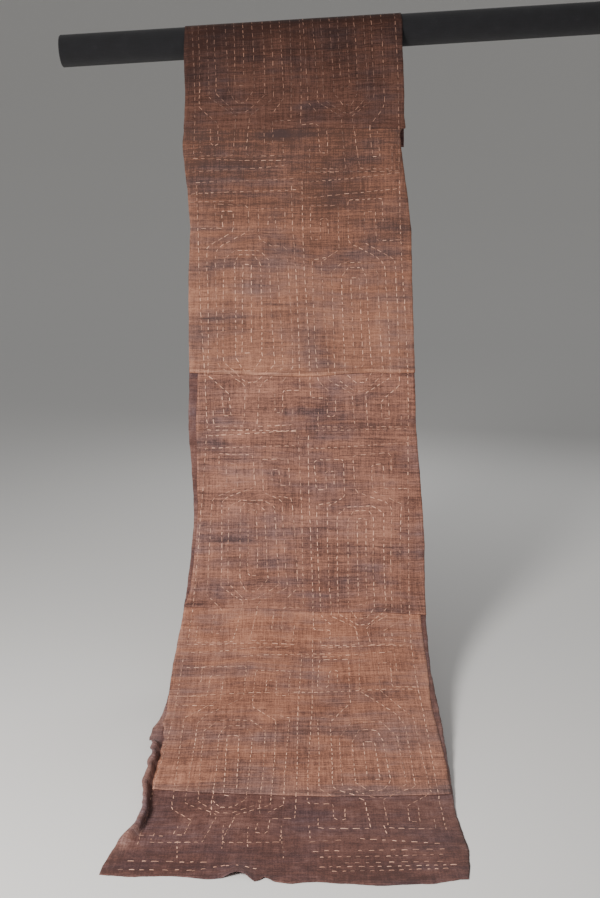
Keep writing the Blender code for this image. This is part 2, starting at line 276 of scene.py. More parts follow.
# Fineness of the visible sheets
ROW_STEP = 0.0062
COLUMN_STEP = 0.0070
PANEL_GRID_WIDTH = 0.70
GROUND_ROW_STEP = 0.0085
GROUND_COLUMN_STEP = 0.0080
GROUND_GRID_WIDTH = 0.72
GROUND_EDGE_PACKING = 0.28

# The ground's plain rows, and its rows from there to the hem
GROUND_START = -0.422
GROUND_PLAIN_END = 3.04
GROUND_HEM_SIDES = 3.09
GROUND_HEM_ROWS = 8
TAIL_HEM_REACH = 0.10

# A panel's last plain row and its first fine row, both above its hem
PANEL_PLAIN_END = 0.026
PANEL_FINE_START = 0.024
PANEL_FINE_ROWS = 14

# Running stitches
STITCH_PACE = 0.0218
STITCH_SHARE = 0.64
PACE_RANGE = (0.88, 1.18)
FIRST_RANGE = (0.02, 0.30)
LENGTH_RANGE = (0.62, 1.22)
GAP_RANGE = (0.70, 1.35)
LINE_TONE_RANGE = (0.20, 0.85)
STITCH_TONE_RANGE = (-0.45, 0.45)
THREAD_WIDTH_RANGE = (0.75, 1.2)

# What is added to the paleness of the stitches: distance along, tone
THREAD_TONES = ((-0.42, -0.92), (0.12, -0.92), (0.26, -0.76), (0.40, -0.52), (0.70, -0.15), (1.00, 0.10),
                (2.70, 0.12), (2.80, -0.04), (3.10, -0.04))

# From where down the cloth the stitches are shorter
LOW_STITCHES = 2.72
LOW_SHARE = 0.53
STITCH_HALF_WIDTH = 0.00092
STITCH_HALF_HEIGHT = 0.00045
STITCH_RISE = 0.0003
STITCH_DIP = 0.0006
STITCH_SIDES = 6
STITCH_RINGS = (0.0, 0.12, 0.35, 0.65, 0.88, 1.0)
STITCH_WANDER = 0.0006
DRIFT = 0.0028
DRAWN_STEP = 0.14

# Threads on the back: their share of a gap, their paleness and where the back shows
BACK_SHARE = 0.70
BACK_TONE = 0.45
BACK_SHOWS = ((-0.41, -0.09), (0.09, 2.66))

# Where the stitched field runs: distance along, its left edge, the line between its halves, its right edge
FIELD = (
    (-0.42, -0.318, 0.006, 0.318), (0.08, -0.326, -0.007, 0.291), (0.29, -0.330, 0.001, 0.296),
    (0.46, -0.321, 0.008, 0.329), (0.68, -0.291, 0.013, 0.336), (0.94, -0.289, 0.026, 0.337),
    (1.10, -0.296, 0.039, 0.347), (1.32, -0.262, 0.036, 0.356), (1.44, -0.274, 0.022, 0.347),
    (1.62, -0.259, 0.039, 0.349), (1.81, -0.262, 0.053, 0.350), (1.96, -0.296, 0.047, 0.333),
    (2.31, -0.295, 0.031, 0.332), (2.59, -0.286, 0.029, 0.330), (2.77, -0.280, 0.024, 0.338),
    (3.06, -0.335, 0.021, 0.328),
)

# Columns of the stitch chart as shares of a half, from the line between the halves outwards
CHART_COLUMNS = (0.048, 0.12, 0.22, 0.30, 0.40, 0.49, 0.58, 0.655, 0.765, 0.835, 0.93, 1.0)
CHART_ROWS = (0, 16, 30, 68, 76, 90, 100)

# Distance along of the chart's rows in each repeat down the cloth, for the left and the right half
REPEATS = {
    "left": (
        (-0.300, -0.170, -0.050, 0.257, 0.345, 0.473, 0.524),
        (0.634, 0.713, 0.820, 1.124, 1.210, 1.330, 1.385),
        (1.419, 1.520, 1.588, 1.812, 1.893, 2.047, 2.092),
        (2.162, 2.300, 2.475, 2.764, 2.828, 2.940, 3.010),
    ),
    "right": (
        (-0.290, -0.160, -0.040, 0.280, 0.355, 0.518, 0.550),
        (0.615, 0.750, 0.860, 1.168, 1.235, 1.335, 1.370),
        (1.419, 1.530, 1.612, 1.915, 1.990, 2.064, 2.090),
        (2.100, 2.260, 2.507, 2.690, 2.764, 2.885, 2.920),
    ),
}

# The charted repeat: lines of running stitch as (column, row) turns
CHART = (
    ((1, -6), (1, 78), (3, 78), (3, 86), (4, 86), (4, 79)),
    ((4, 14), (4, 8), (3, 8), (3, 16), (2, 16), (2, 3), (5, 3), (5, 20), (3, 25), (3, 71), (5.6, 76),
     (6, 91), (2, 91), (2, 84)),
    ((10, 9), (10, 0), (6, 1), (6, 17), (9.2, 23), (10, 26), (10, 70), (7, 76), (7.4, 91), (11, 91),
     (11, 84)),
    ((12, 16), (9, 16), (9, 5), (8, 5), (8, 17), (11, 24), (11, 73), (8.8, 79), (8.8, 87), (9.7, 87),
     (9.7, 80)),
    ((3.5, 23), (2, 24), (2, 71), (3, 75)),
    ((4, 70), (4, 29), (5, 25), (8, 25), (9, 29), (9, 69), (7, 75), (6, 75), (4, 70)),
    ((5, 68), (5, 31), (5.7, 27), (7.4, 27), (8, 31), (8, 68), (7, 72), (6, 72), (5, 68)),
    ((6, 62), (6, 31), (7, 31), (7, 66), (6, 66)),
    ((12, -6), (12, 92)),
    ((12, 93), (1.4, 94)),
)

# Lines of the chart that a repeat lacks: half, repeat, line
LEFT_OUT = (
    ("left", 3, 9),
    ("right", 3, 9),
)

# Single rows of stitches between the repeats: across and along of both ends
CROSS_ROWS = (
    (-0.320, 0.533, -0.028, 0.510), (-0.310, 0.566, 0.012, 0.552), (-0.328, 0.602, 0.020, 0.588),
    (-0.325, 0.632, -0.180, 0.622), (0.022, 0.534, 0.130, 0.531), (0.010, 0.570, 0.345, 0.532),
    (0.012, 0.618, 0.330, 0.585), (-0.262, 1.366, 0.012, 1.350), (-0.270, 1.404, 0.018, 1.396),
    (0.050, 1.406, 0.352, 1.388), (-0.295, 2.098, -0.150, 2.090), (-0.150, 2.086, 0.000, 2.074),
    (-0.140, 2.122, 0.108, 2.100), (-0.285, 2.165, -0.220, 2.165), (0.030, 2.118, 0.190, 2.110),
    (-0.310, 2.300, -0.030, 2.285), (0.000, 2.284, 0.330, 2.268), (-0.300, 2.340, -0.200, 2.342),
    (0.040, 2.945, 0.130, 2.936), (0.140, 2.930, 0.325, 2.952), (0.045, 2.985, 0.105, 2.982),
    (0.130, 2.980, 0.340, 2.974), (0.060, 3.008, 0.320, 2.996), (0.110, 3.030, 0.325, 3.022),
    (0.055, 3.046, 0.345, 3.036), (0.080, 3.062, 0.330, 3.050), (-0.330, 3.022, -0.150, 3.026),
    (-0.345, 3.054, -0.195, 3.058), (-0.195, 3.058, -0.130, 3.040), (-0.130, 3.040, -0.065, 3.052),
    (-0.320, 2.918, -0.250, 2.920), (-0.140, 2.868, -0.137, 2.985), (-0.018, 2.876, -0.013, 3.022),
    (0.040, 2.868, 0.043, 2.930), (-0.176, 2.760, -0.172, 2.835), (-0.072, 2.762, -0.069, 2.842),
    (-0.092, 2.880, -0.088, 2.975), (-0.232, 2.935, -0.226, 3.010), (0.200, 2.868, 0.204, 2.915),
)

CAMERA_PLACE = (ROD_X + 0.021, ROD_Y - 3.970, 1.232)
CAMERA_PITCH = math.radians(80.0)
CAMERA_FOCAL = 70.8
SENSOR_WIDTH = 36.0

# Pale floor, and the side shape of the round backdrop far away on it: radius, rise
FLOOR_HALF_WIDTH = 90.0
BACKDROP_PROFILE = ((12.0, 0.0), (12.6, 0.03), (13.2, 0.12), (13.8, 0.29), (14.4, 0.56), (15.0, 1.0),
                    (15.5, 1.6), (15.85, 2.5), (16.0, 3.6), (16.0, 14.0))
BACKDROP_SIDES = 128
STAGE_HEIGHT = -0.0004

# Lights: place, the point that it is aimed at, power
KEY_LIGHT = ((-1.8, -2.6, 2.0), (-1.2, -1.45, -0.25), 108.0)
LOW_LIGHT = ((-2.0, -3.4, 2.3), (0.0, 0.0, 0.15), 420.0)
BACK_LIGHT = ((0.9, 3.2, 2.6), (0.0, 0.9, 1.2), 25.0)
WARM_LIGHT = (1.0, 0.975, 0.95)
KEY_SIZE = 0.9
LOW_SPREAD = math.radians(62.0)
LOW_SOFTNESS = 0.50
BACK_SIZE = 1.2
WORLD_STRENGTH = 0.30


def read_table(rows, where, column=1):
    """Values of one column of a table at distances given by its first column."""
    return np.interp(where, [row[0] for row in rows], [row[column] for row in rows])


def make_spine():
    """Side shape of the cloth's middle layer: distances along, y and z, with its floor stretch on z = 0."""
    along = np.arange(LEANS[0][0], LEANS[-1][0] + SPINE_STEP, SPINE_STEP)
    lean = np.radians(np.interp(along, [row[0] for row in LEANS], [row[1] for row in LEANS]))
    middle = (lean[1:] + lean[:-1]) / 2
    y = np.concatenate([[0.0], np.cumsum(-np.sin(middle)) * SPINE_STEP])
    z = np.concatenate([[0.0], np.cumsum(-np.cos(middle)) * SPINE_STEP])
    y -= np.interp(0.0, along, y)
    z -= z[-1] - GROUND_THICKNESS / 2
    return along, y, z, lean


SPINE_ALONG, SPINE_Y, SPINE_Z, SPINE_LEAN = make_spine()
ROD_HEIGHT = float(np.interp(0.0, SPINE_ALONG, SPINE_Z)) - WRAP_RADIUS


def smooth(share):
    """Share from 0 to 1 with soft ends."""
    share = np.clip(share, 0.0, 1.0)
    return share * share * (3.0 - 2.0 * share)


def place(across, along, height):
    """World points at places on the cloth, a height out from its ground layer."""
    lean = np.interp(along, SPINE_ALONG, SPINE_LEAN)
    y = np.interp(along, SPINE_ALONG, SPINE_Y) - np.cos(lean) * height
    rise = np.interp(along, SPINE_ALONG, SPINE_Z) + np.sin(lean) * height - ROD_HEIGHT
    tilt = ROD_TILT * (1.0 - smooth((np.abs(along) - TILT_FULL) / (TILT_GONE - TILT_FULL)))
    x = across * np.cos(tilt) - rise * np.sin(tilt)
    z = ROD_HEIGHT + across * np.sin(tilt) + rise * np.cos(tilt)
    return np.stack([ROD_X + x, ROD_Y + y, z], axis=-1)


def wave(across, along):
    """Height of the gentle ripples down the front and of the waves at the hem."""
    height = RIPPLE_HEIGHT * read_table(RIPPLE_FADES, along)
    height = height * np.sin(math.tau * across / RIPPLE_LENGTH + 1.5 * along)
    for centre, end, half_width, reach, crest in HEM_WAVES:
        side = np.clip(np.abs(across - centre) / half_width, 0.0, 1.0)
        share = np.clip((along - end + reach) / reach, 0.0, 1.0)
        height = height + crest * (0.5 + 0.5 * np.cos(math.pi * side)) * share * share
    return height


def settle(across, along):
    """Height of the sags and creases that handling leaves in the stiff raffia."""
    height = np.zeros_like(along)
    for centre, place_along, half_width, half_length, depth in SAGS:
        spot = ((across - centre) / half_width) ** 2 + ((along - place_along) / half_length) ** 2
        height -= depth * np.exp(-spot)
    for across_a, along_a, across_b, along_b, half_width, depth in CREASES:
        share = np.clip((across - across_a) / (across_b - across_a), 0.0, 1.0)
        past = np.abs(across - (across_a + (across_b - across_a) * share)) / CREASE_END
        line = along_a + (along_b - along_a) * share + CREASE_WANDER * np.sin(across * 38.0 + along_a * 90.0)
        near = ((along - line) / half_width) ** 2 + past * past
        height -= depth * np.exp(-near) * (0.65 + 0.35 * np.sin(across * 21.0 + along_b * 60.0))
    return height * read_table(SETTLE_FADES, along)


def curl_profile(distance, amount):
    """Width and height that the curled margin covers at a distance from its foot."""
    step = distance / CURL_STEPS
    width = np.zeros_like(distance)
    height = np.zeros_like(distance)
    for index in range(CURL_STEPS):
        slope = np.radians(read_table(CURL_SLOPES, (index + 0.5) * step)) * amount
        width += np.cos(slope) * step
        height += np.sin(slope) * step
    return width, height


def surface(across, along, layer_height):
    """World points on the draped cloth with its ripples, creases, hem waves and curled left margin."""
    inner_left = read_table(GROUND_EDGES, along, 1) + LEFT_MARGIN
    inner_right = read_table(GROUND_EDGES, along, 2) - RIGHT_MARGIN
    inner = np.clip(across, inner_left, inner_right)
    height = layer_height + wave(inner, along) + settle(across, along)
    amount = read_table(CURL, along)
    amount = amount * (1.0 + CURL_UNEVEN * wobble(along * 0.55, 5.0))
    distance = np.maximum(inner_left - across, 0.0)
    width, rise = curl_profile(distance, amount)
    curled = (amount > 0.0) & (distance > 0.0)
    spot = np.where(curled, inner_left - width, across)
    return place(spot, along, height + np.where(curled, rise, 0.0))


def along_line(line, across):
    """Distance along at places across a line given by its left, middle and right values."""
    left, middle, right = line
    side = across / HALF_WIDTH
    return middle + (right - left) / 2 * side + ((left + right) / 2 - middle) * side * side


def wobble(where, seed):
    """Hand-made unevenness from -1 to 1 along a line, from a few waves of unlike length."""
    total = 0.5 * np.sin(where * 61.0 + seed * 1.7)
    total = total + 0.3 * np.sin(where * 137.0 + seed * 2.9)
    return total + 0.2 * np.sin(where * 331.0 + seed * 4.3)


def panel_sides(name, along):
    """Left and right edge of a panel laid flat."""
    left = read_table(GROUND_EDGES, along, 1) + read_table(PANEL_INSETS[name], along, 1)
    right = read_table(GROUND_EDGES, along, 2) - read_table(PANEL_INSETS[name], along, 2)
    return left, right


def hem_shift(name, across):
    """How far a panel's hem lies below its plain line, from where it was pulled when sewn."""
    seed = len(name) + HEM_PUFFS[name] * 9000
    return read_table(HEM_SHIFTS[name], across) + HEM_WOBBLE * 0.5 * wobble(across, seed)


def panel_height(name, across, along):
    """Height of a panel's middle layer above the ground's, with its lapped lower end and folded hem."""
    base = (GROUND_THICKNESS + PANEL_THICKNESS) / 2 + LAYER_GAP
    height = np.full_like(along, base)
    _, rise, end = PANEL_LINES[name]
    if rise is not None:
        lift_start = along_line(rise, across)
        height = height + (PANEL_THICKNESS + LAYER_GAP) * smooth((along - lift_start) / LAP_RISE)
    hem = along_line(end, across) + hem_shift(name, across)
    height = height + HEM_FOLD_RISE / 2 * smooth((along - hem + HEM_FOLD_WIDTH) / HEM_FOLD_EDGE)
    past = (along - hem + HEM_PUFF_PLACE) / HEM_PUFF_WIDTH
    puff = 0.75 + 0.25 * np.sin(across * 33.0 + 2.0)
    return height + HEM_PUFFS[name] * puff * np.exp(-past * past)


def unit(vectors):
    """Vectors of length 1 in the same directions."""
    return vectors / np.linalg.norm(vectors, axis=-1, keepdims=True)


def grid_normals(points):
    """Outward normals of a grid of points, rows down the cloth and columns to the right."""
    across = np.gradient(points, axis=1)
    along = np.gradient(points, axis=0)
    return unit(np.cross(along, across))


def add_mesh(name, vertices, faces, coordinates, tones=None):
    """Smooth mesh object with a map of places, across and along in metres, and a tone for each vertex."""
    mesh = bpy.data.meshes.new(name)
    mesh.vertices.add(len(vertices))
    mesh.vertices.foreach_set("co", vertices.astype(np.float32).ravel())
    mesh.loops.add(faces.size)
    mesh.loops.foreach_set("vertex_index", faces.astype(np.int32).ravel())
    mesh.polygons.add(len(faces))
    mesh.polygons.foreach_set("loop_start", np.arange(0, faces.size, 4, dtype=np.int32))
    mesh.polygons.foreach_set("loop_total", np.full(len(faces), 4, dtype=np.int32))
    mesh.update(calc_edges=True)
    layer = mesh.uv_layers.new(name="cloth_place")
    layer.data.foreach_set("uv", coordinates[faces.ravel()].astype(np.float32).ravel())
    if tones is not None:
        tone = mesh.attributes.new("tone", "FLOAT", "POINT")
        tone.data.foreach_set("value", tones.astype(np.float32))
    mesh.polygons.foreach_set("use_smooth", np.ones(len(faces), dtype=bool))
    mesh.validate()
    piece = bpy.data.objects.new(name, mesh)
    bpy.context.scene.collection.objects.link(piece)
    return piece


def add_sheet(name, across, along, heights, thickness, hem_wear_and_highlight):
    """Closed thin sheet over a grid of places: a face, a back and the cut edge around them."""
    middle = surface(across, along, heights)
    normal = grid_normals(middle)
    rows, columns = across.shape
    front = (middle + normal * thickness / 2).reshape(-1, 3)
    back = (middle - normal * thickness / 2).reshape(-1, 3)
    index = np.arange(rows * columns).reshape(rows, columns)
    corner = index[:-1, :-1].ravel()
    right = index[:-1, 1:].ravel()
    below = index[1:, :-1].ravel()
    far = index[1:, 1:].ravel()
    count = rows * columns
    face = np.stack([corner, below, far, right], axis=1)
    reverse = np.stack([corner, right, far, below], axis=1) + count
    rim = np.concatenate([index[0, :], index[1:, -1], index[-1, -2::-1], index[-2:0:-1, 0]])
    after = np.roll(rim, -1)
    edge = np.stack([rim, after, after + count, rim + count], axis=1)
    places = np.stack([across, along], axis=-1).reshape(-1, 2)
    left = across[:, :1]
    right_side = across[:, -1:]
    inside = np.minimum(np.abs(across - left), np.abs(right_side - across))
    inside = np.minimum(inside, np.abs(along - along[:1]))
    hem = np.abs(along[-1:] - along)
    # Cut edges are worn paler; the paler band at the hem is partly wear and partly painted highlight
    tones = np.maximum(np.exp(-inside / WORN_EDGE), hem_wear_and_highlight * np.exp(-(hem / HEM_WEAR_AND_HIGHLIGHT_REACH) ** 2))
    if name == "ground_sheet":
        # Painted highlight on the ground's left margin, where the curl and the flap beside it face the light
        margin = smooth((LEFT_MARGIN - (across - left)) / 0.012)
        tones = np.maximum(tones, MARGIN_HIGHLIGHT * margin * read_table(MARGIN_HIGHLIGHT_STRETCH, along))
    tones = tones.reshape(-1)
    return add_mesh(name, np.concatenate([front, back]), np.concatenate([face, reverse, edge]),
                    np.concatenate([places, places]), np.concatenate([tones, tones]))


def make_ground():
    """The dark cloth that runs the whole length."""
    rows = int((GROUND_PLAIN_END - GROUND_START) / GROUND_ROW_STEP)
    columns = int(GROUND_GRID_WIDTH / GROUND_COLUMN_STEP)
    share = np.linspace(0.0, 1.0, columns + 1)
    packed = 0.5 - 0.5 * np.cos(np.pi * share)
    share = (1.0 - GROUND_EDGE_PACKING) * share + GROUND_EDGE_PACKING * packed
    level = np.linspace(GROUND_START, GROUND_PLAIN_END, rows + 1)
    left = read_table(GROUND_EDGES, level, 1) + EDGE_WOBBLE * wobble(level, 1.0)
    right = read_table(GROUND_EDGES, level, 2) + EDGE_WOBBLE * wobble(level, 2.0)
    across = left[:, None] + (right - left)[:, None] * share[None, :]
    along = np.repeat(level[:, None], columns + 1, axis=1)
    near_tail_hem = smooth((GROUND_START + TAIL_HEM_REACH - along) / TAIL_HEM_REACH)
    along = along + (along_line(TAIL_HEM, across) - GROUND_START) * near_tail_hem
    last = across[-1]
    end_left = read_table(GROUND_EDGES, GROUND_HEM_SIDES, 1)
    end_right = read_table(GROUND_EDGES, GROUND_HEM_SIDES, 2)
    for step in range(1, GROUND_HEM_ROWS + 1):
        part = step / GROUND_HEM_ROWS
        line = last + (end_left + (end_right - end_left) * share - last) * part
        hem = read_table(HEM, line) + HEM_WOBBLE * wobble(line, 9.0) - GROUND_PLAIN_END
        across = np.concatenate([across, line[None, :]])
        along = np.concatenate([along, (GROUND_PLAIN_END + hem * part)[None, :]])
    heights = np.zeros_like(along)
    return add_sheet("ground_sheet", across, along, heights, GROUND_THICKNESS, HEM_WEAR_AND_HIGHLIGHT["ground"])


def make_panel(name, seed):
    """One panel, with its top and bottom lines and its uneven sides."""
    start, _, end = PANEL_LINES[name]
    length = end[1] - start[1]
    rows = int(length / ROW_STEP)
    columns = int(PANEL_GRID_WIDTH / COLUMN_STEP)
    share = np.linspace(0.0, 1.0, columns + 1)
    level = np.linspace(0.0, 1.0 - PANEL_PLAIN_END / length, rows + 1)
    level = np.concatenate([level, 1.0 - np.linspace(PANEL_FINE_START, 0.0, PANEL_FINE_ROWS) / length])
    middle = start[1] + length * level
    left, right = panel_sides(name, middle)
    left = left + EDGE_WOBBLE * PANEL_EDGE_SHARE * wobble(middle, seed)
    right = right + EDGE_WOBBLE * PANEL_EDGE_SHARE * wobble(middle, seed + 3.0)
    across = left[:, None] + (right - left)[:, None] * share[None, :]
    first = along_line(start, across)
    last = along_line(end, across) + hem_shift(name, across)
    along = first + (last - first) * level[:, None]
    heights = panel_height(name, across, along)
    return add_sheet(name + "_sheet", across, along, heights, PANEL_THICKNESS, HEM_WEAR_AND_HIGHLIGHT[name])


def top_layer(across, along):
    """Height of the cloth's outermost face at places and the number of the panel there, 0 for the ground."""
    height = np.full_like(along, GROUND_THICKNESS / 2)
    owner = np.zeros(along.shape, dtype=int)
    for number in (4, 3, 2, 1):
        name = "panel_" + str(number)
        start, _, end = PANEL_LINES[name]
        left, right = panel_sides(name, along)
        last = along_line(end, across) + hem_shift(name, across)
        on_it = (along > along_line(start, across)) & (along < last)
        on_it = on_it & (across > left) & (across < right)
        height = np.where(on_it, panel_height(name, across, along) + PANEL_THICKNESS / 2, height)
        owner = np.where(on_it, number, owner)
    return height, owner


def chart_place(side, repeat, column, row):
    """Place on the cloth of a turn in the stitch chart."""
    rows = REPEATS[side][repeat]
    along = float(np.interp(row, CHART_ROWS, rows))
    if row < 0:
        along = rows[0] + row / 100.0
    centre = float(read_table(FIELD, along, 2))
    edge = float(read_table(FIELD, along, 1 if side == "left" else 3))
    share = float(np.interp(column, range(1, 13), CHART_COLUMNS))
    return centre + (edge - centre) * share, along


def hand_drawn(turns, rng):
    """The line with extra points between its turns, which drift a little to one side and the other."""
    points = []
    phase = rng.uniform(0.0, math.tau)
    for (across_a, along_a), (across_b, along_b) in zip(turns, turns[1:]):
        parts = max(1, round(math.hypot(across_b - across_a, along_b - along_a) / DRAWN_STEP))
        for part in range(parts):
            share = part / parts
            points.append((across_a + (across_b - across_a) * share, along_a + (along_b - along_a) * share))
    points.append(turns[-1])
    drawn = []
    for across, along in points:
        drift = DRIFT * math.sin(along * 9.0 + across * 14.0 + phase)
        drawn.append((across + drift, along + 0.5 * DRIFT * math.sin(across * 23.0 + phase)))
    return drawn


def stitch_line(turns, rng):
    """Running stitches along a line of turns, as both ends' places, and the gaps between them."""
    points = np.array(turns)
    lengths = np.linalg.norm(np.diff(points, axis=0), axis=1)
    reached = np.concatenate([[0.0], np.cumsum(lengths)])
    pace = STITCH_PACE * rng.uniform(*PACE_RANGE)
    shown = STITCH_SHARE if points[:, 1].mean() < LOW_STITCHES else LOW_SHARE
    stitches = []
    gaps = []
    previous = None
    position = pace * rng.uniform(*FIRST_RANGE)
    while position < reached[-1] - pace * 0.35:
        reach = pace * shown * rng.uniform(*LENGTH_RANGE)
        both = []
        for spot in (position, min(position + reach, reached[-1])):
            across = np.interp(spot, reached, points[:, 0]) + rng.gauss(0.0, STITCH_WANDER)
            along = np.interp(spot, reached, points[:, 1]) + rng.gauss(0.0, STITCH_WANDER)
            both.append(np.array([across, along]))
        stitches.append(both)
        if previous is not None:
            gaps.append((previous, both[0]))
        previous = both[1]
        position += reach + pace * (1.0 - shown) * rng.uniform(*GAP_RANGE)
    return stitches, gaps


def all_stitches():
    """Every running stitch of the repeats and the rows between them, their paleness and the gaps behind."""
    rng = random.Random(7)
    stitches = []
    tones = []
    gaps = []
    lines = []
    for side in ("left", "right"):
        for repeat in range(4):
            for number, turns in enumerate(CHART):
                if (side, repeat, number) in LEFT_OUT:
                    continue
                line = [chart_place(side, repeat, column, row) for column, row in turns]
                lines.append(line)
    for across_a, along_a, across_b, along_b in CROSS_ROWS:
        lines.append([(across_a, along_a), (across_b, along_b)])
    for line in lines:
        made, between = stitch_line(hand_drawn(line, rng), rng)
        line_tone = rng.uniform(*LINE_TONE_RANGE)
        stitches.extend(made)
        tones.extend(line_tone + rng.uniform(*STITCH_TONE_RANGE) for _ in made)
        gaps.extend(between)
    stitches = np.array(stitches)
    tones = np.clip(tones, 0.0, 1.0) + read_table(THREAD_TONES, stitches[:, 0, 1])
    return stitches, tones, np.array(gaps)


def add_threads(name, ends, tone, faces_out, seed):
    """Joined mesh of short raised threads between pairs of places on the cloth, each with its paleness."""
    count = len(ends)
    rng = np.random.default_rng(seed)
    width = STITCH_HALF_WIDTH * rng.uniform(*THREAD_WIDTH_RANGE, count)
    shares = np.array(STITCH_RINGS)
    spots = ends[:, 0, None, :] + (ends[:, 1] - ends[:, 0])[:, None, :] * shares[None, :, None]
    across = spots[..., 0]
    along = spots[..., 1]
    if faces_out:
        base, _ = top_layer(across, along)
        out = 1.0
    else:
        base = np.full_like(along, -GROUND_THICKNESS / 2)
        out = -1.0
    arch = np.sin(np.pi * np.clip(shares, 0.0, 1.0)) ** 0.5
    lift = -STITCH_DIP + (STITCH_DIP + STITCH_RISE) * arch
    centre = surface(across, along, base + out * lift[None, :])
    outward = unit(surface(across, along, base + out * (lift[None, :] + 0.001)) - centre)
    tangent = unit(np.gradient(centre, axis=1))
    sideways = unit(np.cross(tangent, outward))
    angles = np.arange(STITCH_SIDES) * math.tau / STITCH_SIDES
    ring_width = width[:, None, None, None] * np.cos(angles)[None, None, :, None]
    ring_height = STITCH_HALF_HEIGHT * np.sin(angles)[None, None, :, None]
    vertices = centre[:, :, None, :] + sideways[:, :, None, :] * ring_width
    vertices = vertices + outward[:, :, None, :] * ring_height
    rings = len(shares)
    index = np.arange(count * rings * STITCH_SIDES).reshape(count, rings, STITCH_SIDES)
    after = np.roll(index, -1, axis=2)
    faces = np.stack([index[:, :-1], after[:, :-1], after[:, 1:], index[:, 1:]], axis=-1).reshape(-1, 4)
    places = np.repeat(spots[:, :, None, :], STITCH_SIDES, axis=2).reshape(-1, 2)
    tones = np.repeat(tone, rings * STITCH_SIDES)
    return add_mesh(name, vertices.reshape(-1, 3), faces, places, tones)


def add_node(tree, kind, **settings):
    """Shader node with its properties set by name and its inputs by number or name."""
    node = tree.nodes.new(kind)
    inputs = settings.pop("inputs", {})
    for key, value in settings.items():
        setattr(node, key, value)
    for key, value in inputs.items():
        node.inputs[key].default_value = value
    return node


def new_material(name):
    """Material with an empty Principled shader, and its tree and shader."""
    material = bpy.data.materials.new(name)
    material.use_nodes = True
    tree = material.node_tree
    return material, tree, tree.nodes["Principled BSDF"]


def cloth_places(tree, scale_across, scale_along, offset):
    """Cloth places in metres, scaled apart across and along, and moved so that no two noises match."""
    mapping = add_node(tree, "ShaderNodeMapping", inputs={
        "Scale": (scale_across, scale_along, 1.0),
        "Location": (offset, offset * 0.7, 0.0),
    })
    tree.links.new(drifting_places(tree), mapping.inputs["Vector"])
    return mapping.outputs["Vector"]


def drifting_places(tree):
    """Cloth places in metres whose rows and columns drift a little, as a hand-woven cloth's threads do."""
    if "drift" in tree.nodes:
        return tree.nodes["drift"].outputs["Vector"]
    source = add_node(tree, "ShaderNodeUVMap", uv_map="cloth_place")
    noise = add_node(tree, "ShaderNodeTexNoise", noise_dimensions="2D",
                     inputs={"Scale": WEAVE_DRIFT_SCALE, "Detail": 2.0})
    tree.links.new(source.outputs["UV"], noise.inputs["Vector"])
    centred = add_node(tree, "ShaderNodeVectorMath", operation="SUBTRACT", inputs={1: (0.5, 0.5, 0.5)})
    tree.links.new(noise.outputs["Color"], centred.inputs[0])
    drift = add_node(tree, "ShaderNodeVectorMath", operation="MULTIPLY_ADD", name="drift",
                     inputs={1: WEAVE_DRIFT})
    tree.links.new(centred.outputs["Vector"], drift.inputs[0])
    tree.links.new(source.outputs["UV"], drift.inputs[2])
    return drift.outputs["Vector"]


def streaks(tree, scale_across, scale_along, detail, offset):
    """Noise drawn out across or along the cloth, about 0.5 on average."""
    noise = add_node(tree, "ShaderNodeTexNoise", noise_dimensions="2D",
                     inputs={"Scale": 1.0, "Detail": detail, "Roughness": 0.6})
    tree.links.new(cloth_places(tree, scale_across, scale_along, offset), noise.inputs["Vector"])
    return noise.outputs["Fac"]


def math_node(tree, operation, first, second=None, third=None, clamp=False):
    """Result of one arithmetic step on sockets or numbers."""
    node = add_node(tree, "ShaderNodeMath", operation=operation, use_clamp=clamp)
    for index, value in enumerate((first, second, third)):
        if value is None:
            continue
        if isinstance(value, (int, float)):
            node.inputs[index].default_value = value
        else:
            tree.links.new(value, node.inputs[index])
    return node.outputs[0]


def weighted_sum(tree, parts, base=0.5):
    """base plus each (socket, weight) measured from its average of 0.5."""
    total = None
    for socket, weight in parts:
        shift = math_node(tree, "MULTIPLY_ADD", socket, weight, -0.5 * weight)
        total = shift if total is None else math_node(tree, "ADD", total, shift)
    return math_node(tree, "ADD", total, base, clamp=True)


def ramp(tree, value, stops):
    """Colour from a ramp of (position, colour) stops."""
    node = add_node(tree, "ShaderNodeValToRGB")
    elements = node.color_ramp.elements
    while len(elements) > 1:
        elements.remove(elements[-1])
    elements[0].position = stops[0][0]
    elements[0].color = (*stops[0][1], 1.0)
    for position, colour in stops[1:]:
        element = elements.new(position)
        element.color = (*colour, 1.0)
    tree.links.new(value, node.inputs["Fac"])
    return node.outputs["Color"]


def tinted(tree, share, colour, tint):
    """The colour multiplied by a tint as far as a socket says."""
    node = add_node(tree, "ShaderNodeMix", data_type="RGBA", blend_type="MULTIPLY")
    tree.links.new(share, node.inputs[0])
    tree.links.new(colour, node.inputs[6])
    node.inputs[7].default_value = (*tint, 1.0)
    return node.outputs[2]


def weave_height(tree, split):
    """Relief of a plain weave: warp and weft crests that take turns."""
    warp_turn = math_node(tree, "MULTIPLY", split.outputs["X"], math.tau / WARP_PITCH)
    warp = math_node(tree, "SINE", warp_turn)
    weft_turn = math_node(tree, "MULTIPLY", split.outputs["Y"], math.tau / WEFT_PITCH)
    weft = math_node(tree, "SINE", weft_turn)
    return math_node(tree, "MULTIPLY", warp, weft)


def add_relief(tree, shader, height, strength, distance):
    """Bump on the shader's surface from a height."""
    bump = add_node(tree, "ShaderNodeBump", inputs={"Strength": strength, "Distance": distance})
    tree.links.new(height, bump.inputs["Height"])
    tree.links.new(bump.outputs["Normal"], shader.inputs["Normal"])


